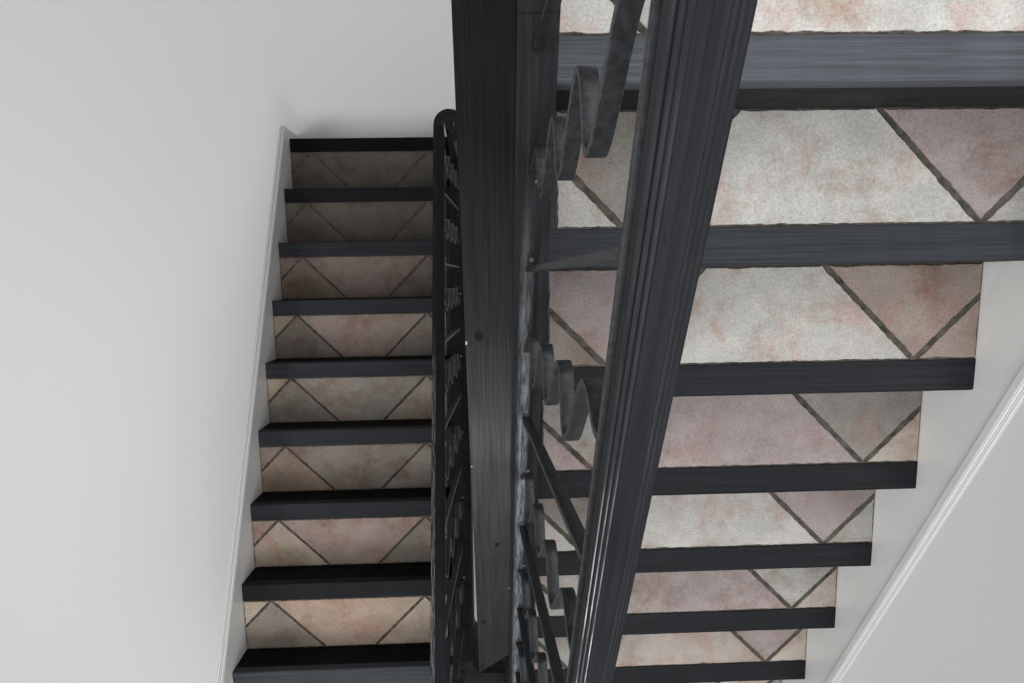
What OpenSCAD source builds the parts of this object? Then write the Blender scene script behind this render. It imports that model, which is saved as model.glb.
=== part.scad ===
// Half-turn escape stair between two walls: two closed-string flights with tiled steps,
// a half landing, a top landing and an iron balustrade of waved bars round a narrow well.
// X runs across both flights, Y runs up the upper flight, Z is up. The origin is under
// the foot of the lower flight, at ground level, in the middle of its clear width.

/* [Steps] */
// Height of one riser
riser_h = 175; // [160:1:190]
// Level distance from one nosing to the next
going = 250; // [235:1:290]
// Clear width of the lower flight's steps
lower_w = 764; // [600:5:1200]
// Clear width of the upper flight's steps
upper_w = 868; // [600:5:1200]
// Depth of the timber nosing, front to back
nosing_d = 63; // [45:1:90]
// Height of the timber nosing
nosing_h = 36; // [25:1:50]
// Radius of the nosing's worn front edge
nosing_r = 5; // [2:0.5:10]
// Thickness of a riser board
riser_t = 20; // [14:1:26]
// Least depth of a step's bed behind the riser foot
bed_min = 30; // [20:1:50]
// Width of the timber return beside the string, from one nosing to the next riser
return_w = 22; // [16:1:30]
// Thickness of that return
return_t = 12; // [8:1:20]

/* [Strings] */
// Thickness of the lower flight's outer string
lower_string_t = 73; // [50:1:90]
// Thickness of the upper flight's string
upper_string_t = 53; // [40:1:70]
// Thickness of the wide timber on the well side of the upper string
well_beam_t = 80; // [60:1:110]
// Depth of that timber, measured plumb
well_beam_h = 240; // [160:5:320]
// How far its top lies below the top of the string
well_beam_step = 5; // [2:1:12]
// Level distance from the foot riser of the upper flight to the timber's cut end
well_beam_start = 420; // [350:5:600]
// How far the upper string, its timber, ironwork and rail rake on past the top riser
string_over = 120; // [0:5:180]
// Open gap between the two flights
well_gap = 24; // [10:1:80]
// Height of the strings above the line of the nosings, plumb
string_up = 90; // [60:1:110]
// Depth of the strings below the plaster, plumb
string_lip = 14; // [8:1:30]
// How far the lower string runs out in front of the bottom riser
string_fore = 40; // [20:1:80]
// Inner radius of the string's turn at the well end
turn_r = 40; // [25:1:60]
// Distance from the landing nosing back to the centre of that turn
turn_set = 40; // [20:1:60]

/* [Wall strings] */
// Thickness of the board on the wall
wall_board_t = 21; // [16:1:30]
// Height of the board above the line of the nosings, plumb
wall_board_up = 118; // [90:1:150]
// How far the cap moulding stands out from the board
cap_out = 5; // [3:1:20]
// Height of the cap moulding
cap_h = 20; // [12:1:30]

/* [Landings] */
// Distance from the lower flight's landing nosing to the back wall
half_landing_d = 1000; // [850:10:1500]
// How far the upper flight's foot riser stands behind the landing nosing
upper_set = 160; // [150:1:260]
// Depth of the top landing
top_landing_d = 900; // [600:10:1500]
// Thickness of the tiled floor
floor_t = 14; // [8:1:25]
// Height of the skirting
skirting_h = 100; // [60:1:140]
// Thickness of the skirting
skirting_t = 15; // [10:1:20]
// Thickness of the plastered soffit under a flight, plumb
soffit_t = 50; // [35:1:80]

/* [Balustrade] */
// Height of the handrail's top above the line of the nosings, plumb
rail_top = 900; // [850:5:1000]
// Width of the handrail
rail_w = 39; // [34:1:60]
// Depth of the handrail
rail_h = 44; // [38:1:60]
// Width of one reed on the handrail's shoulder
reed_w = 3.9; // [2.5:0.1:5]
// How much the first reed lies below the rail's flat top
reed_fall = 0.6; // [0.2:0.1:1]
// How far the lower rail's middle stands over the steps from the string's inner face
lower_rail_in = 9; // [0:1:20]
// How far the upper rail's middle stands back from the string's inner face
upper_rail_back = 2; // [0:1:20]
// How far the head of the ironwork stands from the rail's middle, towards the well
rail_offset = 10; // [0:1:10]
// Width of the flat iron, across the flight
iron_w = 16; // [12:1:25]
// Thickness of an upright bar
bar_t = 8; // [6:1:14]
// Thickness of the flat bar under the rail
flat_t = 8; // [5:1:10]
// Level distance from one upright bar to the next, lower flight
lower_pitch = 247; // [220:1:330]
// Level distance from one upright bar to the next, upper flight
upper_pitch = 270; // [220:1:330]
// Level distance from the upper flight's foot riser to its first upright bar
upper_first_bar = 148; // [120:1:200]
// Thickness of a waved bar
wave_t = 7; // [5:0.5:9]
// How far a waved bar swings to each side of its middle
wave_swing = 38; // [25:1:50]
// Number of swings between the string and the rail, an odd number
wave_swings = 7; // [5:2:9]
// Gap between a waved bar's head and the flat under the rail
clip_gap = 0.3; // [0.1:0.1:0.8]
// Level distance from the bottom riser to the rail's volute
volute_s = 130; // [100:5:180]
// Radius of the post under the volute
volute_post_r = 17; // [12:1:18]
// Side of the two posts at the well end
end_post_w = 30; // [24:1:36]

/* [Hidden] */

lower_treads = 8;
upper_treads = 7;
// Straight pieces in each swing of a waved bar
wave_steps = 6;
// How fast the outer reeds fall away, as a power of their count
reed_curve = 1.5;
// How far a cutting shape runs past a face, and how far two fused shapes overlap
spare = 1;
slope = riser_h / going;
pitch_angle = atan(slope);
half_z = (lower_treads + 1) * riser_h;
top_z = half_z + (upper_treads + 1) * riser_h;

// Plumb depths below the line of the nosings
bed_drop = riser_h + bed_min + riser_t * slope;
soffit_drop = bed_drop + soffit_t;
string_drop = soffit_drop + string_lip;
landing_t = riser_h + bed_min + soffit_t;

// Where the underside of the beds and of the soffit meets the floor
bed_foot = riser_t + bed_min / slope;
soffit_foot = bed_foot + soffit_t / slope;

// Places across the two flights
lower_x0 = -lower_w / 2;
lower_x1 = lower_w / 2;
lower_string_x1 = lower_x1 + lower_string_t;
beam_x0 = lower_string_x1 + well_gap;
string_x0 = beam_x0 + well_beam_t;
upper_x0 = string_x0 + upper_string_t;
upper_x1 = upper_x0 + upper_w;
wall_x0 = lower_x0 - wall_board_t;
wall_x1 = upper_x1 + wall_board_t;
lower_rail_x = lower_x1 - lower_rail_in;
upper_rail_x = upper_x0 - upper_rail_back;

// Places along the flights
lower_y = (bed_foot + soffit_foot) / 2;
landing_s = lower_treads * going;
top_s = upper_treads * going;
upper_y = lower_y - landing_s - upper_set;
landing_front_y = lower_y - landing_s;
back_wall_y = landing_front_y - half_landing_d;
top_front_y = upper_y + top_s;
top_back_y = top_front_y + top_landing_d;
rake_end = top_s + string_over;
guard_y = top_front_y + string_over;
guard_z = top_z + string_over * slope;
guard_l = top_landing_d - string_over;
turn_y = landing_front_y + turn_set;
turn_out_r = turn_r + lower_string_t;

// Rail line: where the two raking rails meet in level, beyond the well end
rail_under = rail_top - rail_h / cos(pitch_angle);
rails_meet_s = landing_s + (upper_set + going) / 2;
turn_rail_z = riser_h + rails_meet_s * slope;
turn_rail_y = lower_y - rails_meet_s;
upper_meet_s = turn_rail_y - upper_y;

iron_black = [0.13, 0.14, 0.15];
timber_black = [0.15, 0.155, 0.165];
tile_beige = [0.60, 0.56, 0.52];
wall_white = [0.88, 0.88, 0.87];

// Height of the nosing line over the foot of a flight
function nosing_line(s) = riser_h + s * slope;

// A flight's own section: first coordinate up the flight, second plumb
module lower_section(x0, x1) {
  translate([x0, lower_y, 0]) mirror([0, 1, 0]) rotate([90, 0, 90])
    linear_extrude(height = x1 - x0) children();
}

module upper_section(x0, x1) {
  translate([x0, upper_y, half_z]) rotate([90, 0, 90])
    linear_extrude(height = x1 - x0) children();
}

// Section of a step's tile and mortar bed, step i from the foot
module bed_outline(i) {
  s = (i - 1) * going;
  z = i * riser_h;
  lower_edge = i == 1
    ? [[riser_t, 0], [bed_foot, 0]]
    : [[s + riser_t, z - riser_h - bed_min]];
  polygon(concat(lower_edge, [
    [s + going + riser_t, z - bed_min],
    [s + going + riser_t, z],
    [s + nosing_d, z],
    [s + nosing_d, z - nosing_h],
    [s + riser_t, z - nosing_h]
  ]));
}

// Section of a nosing, with its front edge worn round
module nosing_outline(i) {
  s = (i - 1) * going;
  z = i * riser_h;
  polygon(concat(
    [[s, z - nosing_h]],
    [for (a = [180 : -15 : 90])
      [s + nosing_r + nosing_r * cos(a), z - nosing_r + nosing_r * sin(a)]],
    [[s + nosing_d, z], [s + nosing_d, z - nosing_h]]
  ));
}

module riser_outline(i) {
  translate([(i - 1) * going, (i - 1) * riser_h]) square([riser_t, riser_h - nosing_h]);
}

// Band between two plumb cuts, at heights over a line that rises by the rake from nothing
module band(s0, s1, low, high, rake) {
  polygon([
    [s0, s0 * rake + low],
    [s1, s1 * rake + low],
    [s1, s1 * rake + high],
    [s0, s0 * rake + high]
  ]);
}

// The same, at heights over the nosing line
module raking_band(s0, s1, low, high) {
  translate([0, riser_h]) band(s0, s1, low, high, slope);
}

// Raking board that stands on the floor at its foot
module string_outline(s0, s1, up, drop) {
  foot = (drop - riser_h) / slope;
  polygon([
    [s0, 0],
    [foot, 0],
    [s1, nosing_line(s1) - drop],
    [s1, nosing_line(s1) + up],
    [s0, nosing_line(s0) + up]
  ]);
}

module soffit_outline(treads) {
  end = treads * going + riser_t;
  polygon([
    [bed_foot, 0],
    [soffit_foot, 0],
    [end, nosing_line(end) - soffit_drop],
    [end, nosing_line(end) - bed_drop]
  ]);
}

// Section of a handrail: flat top, three reeds that step down at each side, coved foot
function rail_outline() =
  let (
    half = rail_w / 2,
    reed_r = reed_w / 2,
    flat_half = half - 3 * reed_w,
    quirk = rail_h * 0.05,
    foot = half * 0.62,
    waist = -rail_h * 0.55
  )
  let (right = concat(
    [[0, 0], [flat_half, 0]],
    [for (k = [0 : 2], a = k < 2 ? [150 : -40 : 30] : [150 : -50 : -50])
      [flat_half + reed_r * (2 * k + 1 + cos(a)),
        reed_r * (sin(a) - 1) - reed_fall * pow(k + 1, reed_curve)]],
    [[half - quirk, waist]],
    [for (a = [0 : 30 : 90])
      [foot + (half - quirk - foot) * cos(a), waist - (rail_h * 0.2) * sin(a)]],
    [[foot, -rail_h]]
  ))
  concat(right, [for (k = [len(right) - 1 : -1 : 1]) [-right[k][0], right[k][1]]]);

// Raking handrail between two plumb cuts, in a flight's own section
module raking_rail(s0, s1) {
  run_out = rail_h;
  length = (s1 - s0 + 2 * run_out) / cos(pitch_angle);
  start = s0 - run_out;
  intersection() {
    translate([0, start, nosing_line(start) + rail_top])
      rotate([pitch_angle, 0, 0]) rotate([90, 0, 180])
        linear_extrude(height = length) polygon(rail_outline());
    translate([-rail_w, s0, 0]) cube([2 * rail_w, s1 - s0, nosing_line(s1) + 2 * rail_top]);
  }
}

// Upright bars that hang from a flat under the rail and stand on the string, as one comb
module comb_outline(s0, s1, bars, rake) {
  starts = concat([s0 - spare], [for (bar = bars) bar + bar_t / 2]);
  ends = concat([for (bar = bars) bar - bar_t / 2], [s1 + spare]);
  difference() {
    band(s0, s1, string_up, rail_under, rake);
    for (k = [0 : len(bars)])
      band(starts[k], ends[k], string_up - spare, rail_under - flat_t, rake);
  }
}

// Ribbon of even thickness along a path
function unit(v) = v / norm(v);
function path_normal(path, k) =
  let (
    a = path[max(k - 1, 0)],
    b = path[min(k + 1, len(path) - 1)],
    d = unit(b - a)
  )
  [-d[1], d[0]];
function ribbon(path, t) = concat(
  [for (k = [0 : len(path) - 1]) path[k] + path_normal(path, k) * t / 2],
  [for (k = [len(path) - 1 : -1 : 0]) path[k] - path_normal(path, k) * t / 2]
);

// A waved bar swings to and fro as it rises from the string to the flat under the rail.
// Its path runs one step past each end, and the ends are then cut along the rake.
function wave_path(rake) =
  let (
    steps = wave_swings * wave_steps,
    rise = rail_under - flat_t - string_up
  )
  [for (k = [-1 : steps + 1])
    let (s = -wave_swing * cos(180 * wave_swings * k / steps))
    [s, s * rake + string_up + rise * k / steps]];

module wave_outline(middle, rake) {
  translate([middle, middle * rake]) intersection() {
    polygon(ribbon(wave_path(rake), wave_t));
    band(-2 * wave_swing, 2 * wave_swing, string_up, rail_under - flat_t - clip_gap, rake);
  }
}

module wave_row(first, pitch, bays, rake) {
  for (k = [0 : bays - 1]) wave_outline(first + (k + 0.5) * pitch, rake);
}

// Sets flat ironwork up over a line: its foot stands in the middle of the string, and it
// leans over to its head under the rail. A flight's line rises by the rake.
module lean_section(foot_x, head_x, rake) {
  lean = (head_x - foot_x) / (rail_under - string_up);
  multmatrix([
    [1, -lean * rake, lean, foot_x - lean * string_up],
    [0, 1, 0, 0],
    [0, 0, 1, 0]
  ])
    rotate([90, 0, 90]) translate([0, 0, -iron_w / 2])
      linear_extrude(height = iron_w) children();
}

module lower_lean() {
  translate([0, lower_y, riser_h]) mirror([0, 1, 0])
    lean_section((lower_x1 + lower_string_x1) / 2, lower_rail_x + rail_offset, slope) children();
}

module upper_lean() {
  translate([0, upper_y, half_z + riser_h])
    lean_section((string_x0 + upper_x0) / 2, upper_rail_x - rail_offset, slope) children();
}

// Timber return beside the string, let into the step's bed
module return_outline(i) {
  translate([(i - 1) * going + nosing_d, i * riser_h - return_t])
    square([going - nosing_d, return_t]);
}

module lower_tread(i) {
  color(tile_beige) difference() {
    lower_section(lower_x0, lower_x1) bed_outline(i);
    lower_section(lower_x1 - return_w, lower_x1 + spare) return_outline(i);
  }
}

module upper_tread(i) {
  color(tile_beige) difference() {
    upper_section(upper_x0, upper_x1) bed_outline(i);
    upper_section(upper_x0 - spare, upper_x0 + return_w) return_outline(i);
  }
}

module lower_nosings() {
  color(timber_black)
    for (i = [1 : lower_treads]) union() {
      lower_section(lower_x0, lower_x1) nosing_outline(i);
      lower_section(lower_x1 - return_w, lower_x1) return_outline(i);
    }
}

module upper_nosings() {
  color(timber_black)
    for (i = [1 : upper_treads]) union() {
      upper_section(upper_x0, upper_x1) nosing_outline(i);
      upper_section(upper_x0, upper_x0 + return_w) return_outline(i);
    }
}

module lower_risers() {
  color(timber_black)
    for (i = [1 : lower_treads + 1]) lower_section(lower_x0, lower_x1) riser_outline(i);
}

module upper_risers() {
  color(timber_black)
    for (i = [1 : upper_treads + 1]) upper_section(upper_x0, upper_x1) riser_outline(i);
}

module half_landing_nosing() {
  color(timber_black) lower_section(lower_x0, lower_x1) nosing_outline(lower_treads + 1);
}

module top_landing_nosing() {
  color(timber_black) upper_section(upper_x0, upper_x1) nosing_outline(upper_treads + 1);
}

module lower_string() {
  color(timber_black) lower_section(lower_x1, lower_string_x1)
    string_outline(-string_fore, landing_s - turn_set, string_up, string_drop);
}

module upper_string() {
  color(timber_black) upper_section(string_x0, upper_x0)
    string_outline(upper_meet_s + end_post_w / 2, rake_end, string_up, string_drop);
}

// The wide timber lies against the string and ends in a splayed cut
module well_beam() {
  top = string_up - well_beam_step;
  color(timber_black) difference() {
    upper_section(beam_x0, string_x0)
      raking_band(well_beam_start, rake_end, top - well_beam_h, top);
    translate([string_x0, upper_y + well_beam_start + well_beam_t, half_z - top_z])
      rotate([0, 0, 225]) translate([-well_beam_t, 0, 0])
        cube([3 * well_beam_t, 3 * well_beam_t, 3 * top_z]);
  }
}

// Plan of the string's turn: a quarter ring and a straight run into the upper string
module turn_ring(r) {
  intersection() {
    circle(r = r, $fn = 96);
    translate([-r, -r]) square([r, r]);
  }
}

module string_turn() {
  low = nosing_line(landing_s - turn_set) - string_drop;
  high = nosing_line(landing_s - turn_set) + string_up;
  color(timber_black) translate([lower_x1 + turn_out_r, turn_y, low])
    linear_extrude(height = high - low) union() {
      difference() {
        turn_ring(turn_out_r);
        turn_ring(turn_r);
      }
      translate([0, -turn_out_r])
        square([string_x0 - lower_x1 - turn_out_r, lower_string_t]);
    }
}

// Room that the turn takes out of a layer of the landing
module turn_cut(thickness) {
  translate([lower_x1 + turn_out_r, turn_y, half_z - thickness - spare])
    linear_extrude(height = thickness + 2 * spare) {
      turn_ring(turn_out_r);
      translate([0, -turn_out_r])
        square([string_x0 - lower_x1 - turn_out_r, turn_out_r]);
    }
}

// Kerb of the top landing, from where the string stops raking, with a toe under the string
module top_landing_edge() {
  low = nosing_line(top_s) - landing_t - string_lip;
  high = nosing_line(rake_end) + string_up;
  color(timber_black) upper_section(beam_x0, upper_x0) polygon([
    [top_s + riser_t, low],
    [top_s + top_landing_d, low],
    [top_s + top_landing_d, high],
    [rake_end, high],
    [rake_end, nosing_line(rake_end) - string_drop]
  ]);
}

// White board on the wall, with a cap moulding that stands out over the steps
module wall_string(s1) {
  string_outline(-string_fore, s1, wall_board_up, string_drop);
}

module wall_cap(s1) {
  raking_band(-string_fore, s1, wall_board_up - cap_h, wall_board_up);
}

module lower_wall_string() {
  end = landing_s + riser_t;
  color(wall_white) union() {
    lower_section(wall_x0, lower_x0) wall_string(end);
    lower_section(lower_x0 - spare, lower_x0 + cap_out) wall_cap(end);
  }
}

module upper_wall_string() {
  end = top_s + riser_t;
  color(wall_white) union() {
    upper_section(upper_x1, wall_x1) wall_string(end);
    upper_section(upper_x1 - cap_out, upper_x1 + spare) wall_cap(end);
  }
}

module half_landing_skirting() {
  inner_y = back_wall_y + skirting_t;
  color(wall_white) translate([0, 0, half_z]) linear_extrude(height = skirting_h) polygon([
    [wall_x0, back_wall_y],
    [wall_x1, back_wall_y],
    [wall_x1, upper_y - string_fore],
    [wall_x1 - skirting_t, upper_y - string_fore],
    [wall_x1 - skirting_t, inner_y],
    [wall_x0 + skirting_t, inner_y],
    [wall_x0 + skirting_t, landing_front_y - riser_t],
    [wall_x0, landing_front_y - riser_t]
  ]);
}

module top_landing_skirting() {
  color(wall_white)
    translate([wall_x1 - skirting_t, top_front_y + nosing_d, top_z])
      cube([skirting_t, top_landing_d - nosing_d, skirting_h]);
}

module lower_soffit() {
  color(wall_white) lower_section(lower_x0, lower_x1) soffit_outline(lower_treads);
}

module upper_soffit() {
  color(wall_white) upper_section(upper_x0, upper_x1) soffit_outline(upper_treads);
}

module half_landing_slab() {
  front = landing_front_y - riser_t;
  color(wall_white) difference() {
    union() {
      translate([wall_x0, back_wall_y, half_z - landing_t])
        cube([wall_x1 - wall_x0, front - back_wall_y, landing_t - nosing_h]);
      translate([wall_x0, back_wall_y, half_z - nosing_h - spare])
        cube([wall_x1 - wall_x0, landing_front_y - nosing_d - back_wall_y,
          nosing_h - floor_t + spare]);
    }
    turn_cut(landing_t);
  }
}

module half_landing_floor() {
  color(tile_beige) difference() {
    translate([wall_x0, back_wall_y, half_z - floor_t])
      cube([wall_x1 - wall_x0, landing_front_y - nosing_d - back_wall_y, floor_t]);
    turn_cut(floor_t);
  }
}

module top_landing_slab() {
  front = top_front_y + riser_t;
  color(wall_white) union() {
    translate([upper_x0, front, top_z - landing_t])
      cube([wall_x1 - upper_x0, top_back_y - front, landing_t - nosing_h]);
    translate([upper_x0, top_front_y + nosing_d, top_z - nosing_h - spare])
      cube([wall_x1 - upper_x0, top_landing_d - nosing_d, nosing_h - floor_t + spare]);
  }
}

module top_landing_floor() {
  color(tile_beige)
    translate([upper_x0, top_front_y + nosing_d, top_z - floor_t])
      cube([wall_x1 - upper_x0, top_landing_d - nosing_d, floor_t]);
}

// Upright bars that the lower string carries, and those of the upper flight
lower_bars = floor((landing_s - turn_set - volute_s) / lower_pitch);
upper_bars = floor((rake_end - upper_first_bar) / upper_pitch) + 1;

module lower_iron_frame() {
  bars = [for (k = [1 : lower_bars]) volute_s + k * lower_pitch];
  color(iron_black) lower_lean()
    comb_outline(volute_s + volute_post_r, rails_meet_s - end_post_w / 2, bars, slope);
}

module upper_iron_frame() {
  bars = [for (k = [0 : upper_bars - 1]) upper_first_bar + k * upper_pitch];
  color(iron_black) upper_lean()
    comb_outline(upper_meet_s + end_post_w / 2, rake_end, bars, slope);
}

module lower_waved_bars() {
  color(iron_black) lower_lean() wave_row(volute_s, lower_pitch, lower_bars + 1, slope);
}

module upper_waved_bars() {
  color(iron_black) upper_lean()
    wave_row(upper_first_bar - upper_pitch, upper_pitch, upper_bars, slope);
}

// Level guard along the open edge of the top landing
guard_bays = ceil(guard_l / upper_pitch);
guard_pitch = (guard_l - bar_t) / guard_bays;

module landing_lean() {
  translate([0, guard_y, guard_z])
    lean_section((string_x0 + upper_x0) / 2, upper_rail_x - rail_offset, 0) children();
}

module landing_iron_frame() {
  bars = [for (k = [0 : guard_bays]) bar_t / 2 + k * guard_pitch];
  color(iron_black) landing_lean() comb_outline(0, guard_l, bars, 0);
}

module landing_waved_bars() {
  color(iron_black) landing_lean() wave_row(bar_t / 2, guard_pitch, guard_bays, 0);
}

module lower_handrail() {
  color(timber_black) translate([lower_rail_x, lower_y, 0]) mirror([0, 1, 0])
    raking_rail(volute_s, rails_meet_s);
}

module upper_handrail() {
  color(timber_black) translate([upper_rail_x, upper_y, half_z])
    raking_rail(upper_meet_s, rake_end);
}

module landing_handrail() {
  color(timber_black)
    translate([upper_rail_x, guard_y, guard_z + rail_top]) rotate([90, 0, 180])
      linear_extrude(height = guard_l) polygon(rail_outline());
}

// Level half turn that joins the two raking rails
module handrail_turn() {
  middle = (lower_rail_x + upper_rail_x) / 2;
  radius = (upper_rail_x - lower_rail_x) / 2;
  color(timber_black)
    translate([middle, turn_rail_y, turn_rail_z + rail_top])
      rotate([0, 0, 180]) rotate_extrude(angle = 180, $fn = 72)
        translate([radius, 0]) polygon(rail_outline());
}

// Level volute at the foot of the lower rail, round the head of its post
volute_x = lower_rail_x + rail_w / 2 + volute_post_r + spare;
module handrail_volute() {
  radius = volute_x - lower_rail_x;
  z = nosing_line(volute_s) + rail_top;
  color(timber_black)
    translate([volute_x, lower_y - volute_s, z]) rotate([0, 0, -90])
      rotate_extrude(angle = 270, $fn = 72)
        translate([radius, 0]) polygon(rail_outline());
}

module volute_post() {
  foot = nosing_line(volute_s) + string_up;
  head = nosing_line(volute_s) + rail_top;
  color(timber_black) difference() {
    translate([volute_x, lower_y - volute_s, foot - string_up])
      cylinder(r = volute_post_r, h = head - foot + string_up, $fn = 48);
    lower_section(lower_x1 - spare, lower_string_x1 + spare)
      raking_band(0, 2 * volute_s, -string_drop, string_up);
  }
}

module half_landing_posts() {
  head = turn_rail_z + rail_top - rail_h;
  color(iron_black)
    for (x = [lower_rail_x, upper_rail_x])
      translate([x - end_post_w / 2, turn_rail_y - end_post_w / 2, half_z])
        cube([end_post_w, end_post_w, head - half_z]);
}

for (i = [1 : lower_treads])
  lower_tread(i);
for (i = [1 : upper_treads])
  upper_tread(i);
lower_nosings();
upper_nosings();
lower_risers();
upper_risers();
half_landing_nosing();
top_landing_nosing();
lower_string();
upper_string();
well_beam();
string_turn();
top_landing_edge();
lower_wall_string();
upper_wall_string();
half_landing_skirting();
top_landing_skirting();
lower_soffit();
upper_soffit();
half_landing_slab();
half_landing_floor();
top_landing_slab();
top_landing_floor();
lower_iron_frame();
upper_iron_frame();
landing_iron_frame();
lower_waved_bars();
upper_waved_bars();
landing_waved_bars();
lower_handrail();
upper_handrail();
landing_handrail();
handrail_turn();
handrail_volute();
volute_post();
half_landing_posts();
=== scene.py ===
import math
import random

import bmesh
import bpy
from mathutils import Euler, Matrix, Vector, noise as mottle


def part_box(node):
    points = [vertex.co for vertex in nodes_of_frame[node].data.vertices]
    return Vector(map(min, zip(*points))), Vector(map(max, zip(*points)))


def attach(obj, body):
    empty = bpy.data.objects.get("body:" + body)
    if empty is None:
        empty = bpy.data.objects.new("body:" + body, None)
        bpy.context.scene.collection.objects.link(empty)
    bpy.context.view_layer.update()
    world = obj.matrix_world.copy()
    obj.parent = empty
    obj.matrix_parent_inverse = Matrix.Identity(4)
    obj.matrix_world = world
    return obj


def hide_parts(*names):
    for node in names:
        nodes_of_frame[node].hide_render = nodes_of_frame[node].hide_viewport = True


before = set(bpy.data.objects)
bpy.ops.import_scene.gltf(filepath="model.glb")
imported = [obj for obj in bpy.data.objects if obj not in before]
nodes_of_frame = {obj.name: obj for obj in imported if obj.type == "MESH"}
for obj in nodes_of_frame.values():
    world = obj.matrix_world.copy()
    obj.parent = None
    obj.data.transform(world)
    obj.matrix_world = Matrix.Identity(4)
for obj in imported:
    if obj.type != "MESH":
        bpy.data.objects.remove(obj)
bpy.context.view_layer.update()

# Landing slabs and plastered undersides.
# Solid slabs and sloping soffits, skimmed with plaster and rolled with matt white paint. They
# carry the steps between the strings, and show only from the sides and from below.
PLASTER_WHITE = (232, 230, 225)
PLASTER_SHADE = (216, 213, 206)


def colour(red, green, blue):
    """A colour as it looks on a screen, 0 to 255, as the linear one that a shader wants."""
    linear = [c / 255 / 12.92 if c <= 10 else ((c / 255 + 0.055) / 1.055) ** 2.4 for c in (red, green, blue)]
    return (*linear, 1.0)


def new_finish(name, roughness):
    """A material with its node tree and its shader."""
    made = bpy.data.materials.new(name)
    made.use_nodes = True
    shader = made.node_tree.nodes["Principled BSDF"]
    shader.inputs["Roughness"].default_value = roughness
    return made, made.node_tree, shader


def grain(tree, size, turn=0.0, detail=4.0, roughness=0.5, seed=0.0):
    """Noise whose lumps have this size in metres across X, Y and Z, tipped about X."""
    place = tree.nodes.new("ShaderNodeTexCoord")
    fit = tree.nodes.new("ShaderNodeMapping")
    fit.vector_type = "TEXTURE"
    fit.inputs["Location"].default_value = (seed, seed, seed)
    fit.inputs["Rotation"].default_value = (turn, 0, 0)
    fit.inputs["Scale"].default_value = size
    lumps = tree.nodes.new("ShaderNodeTexNoise")
    lumps.inputs["Scale"].default_value = 1.0
    lumps.inputs["Detail"].default_value = detail
    lumps.inputs["Roughness"].default_value = roughness
    tree.links.new(place.outputs["Object"], fit.inputs["Vector"])
    tree.links.new(fit.outputs["Vector"], lumps.inputs["Vector"])
    return lumps.outputs["Fac"]


def shades(tree, amount, *stops):
    """A colour ramp: each stop is a place from 0 to 1 and a colour or a grey level."""
    ramp = tree.nodes.new("ShaderNodeValToRGB")
    while len(ramp.color_ramp.elements) < len(stops):
        ramp.color_ramp.elements.new(0.5)
    for element, (at, tint) in zip(ramp.color_ramp.elements, stops):
        element.position = at
        element.color = colour(*tint) if isinstance(tint, tuple) else (tint, tint, tint, 1.0)
    tree.links.new(amount, ramp.inputs["Fac"])
    return ramp.outputs["Color"]


def laid_over(tree, under, over, amount, how="MIX"):
    """One colour laid over another. Each is a socket or a colour, and amount a socket or a number."""
    layer = tree.nodes.new("ShaderNodeMix")
    layer.data_type = "RGBA"
    layer.blend_type = how
    for name, given in (("A", under), ("B", over)):
        socket = [s for s in layer.inputs if s.name == name and s.type == "RGBA"][0]
        if isinstance(given, tuple):
            socket.default_value = colour(*given)
        else:
            tree.links.new(given, socket)
    factor = [s for s in layer.inputs if s.name == "Factor" and s.type == "VALUE"][0]
    if isinstance(amount, float):
        factor.default_value = amount
    else:
        tree.links.new(amount, factor)
    return [s for s in layer.outputs if s.type == "RGBA"][0]


def relief(tree, shader, height, depth, strength=1.0):
    """Bumps of this depth in metres, on top of any that the shader has already."""
    bump = tree.nodes.new("ShaderNodeBump")
    bump.inputs["Distance"].default_value = depth
    bump.inputs["Strength"].default_value = strength
    tree.links.new(height, bump.inputs["Height"])
    if shader.inputs["Normal"].links:
        tree.links.new(shader.inputs["Normal"].links[0].from_socket, bump.inputs["Normal"])
    tree.links.new(bump.outputs["Normal"], shader.inputs["Normal"])


def soften_edges(node, width):
    """Rounds a CAD node's arrises with a modifier, as sanding and wear do."""
    round_over = nodes_of_frame[node].modifiers.new("worn arris", "BEVEL")
    round_over.width = width
    round_over.segments = 3
    round_over.limit_method = "ANGLE"
    round_over.angle_limit = math.radians(35)
    round_over.harden_normals = True


def dress(node, finish, arris=0.0):
    """A CAD node keeps its shape and gets this finish."""
    mesh = nodes_of_frame[node].data
    mesh.materials.clear()
    mesh.materials.append(finish)
    if arris:
        soften_edges(node, arris)


plaster, tree, shader = new_finish("matt_white_plaster", 0.85)
trowel = grain(tree, (0.25, 0.25, 0.25), detail=6)
stipple = grain(tree, (0.004, 0.004, 0.004), detail=2)
tree.links.new(shades(tree, trowel, (0.3, PLASTER_SHADE), (0.7, PLASTER_WHITE)), shader.inputs["Base Color"])
relief(tree, shader, trowel, 0.002, 0.4)
relief(tree, shader, stipple, 0.0004, 0.5)
for node in ("lower_soffit", "upper_soffit", "half_landing_slab", "top_landing_slab"):
    dress(node, plaster)

# Strings, the wide timber on the well side and the top landing's kerb.
# Sawn softwood with a long open grain and a few knots, brushed with black paint. Shoes have
# rubbed one strip of the upper string's top back to pale wood.
RISE = 0.175
GOING = 0.25
SLOPE = RISE / GOING
PITCH = math.atan(SLOPE)
PAINT_BLACK = (32, 32, 35)
PAINT_WORN = (52, 53, 56)
BEAM_BLACK = (64, 63, 63)
BEAM_PALE = (98, 97, 96)
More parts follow.
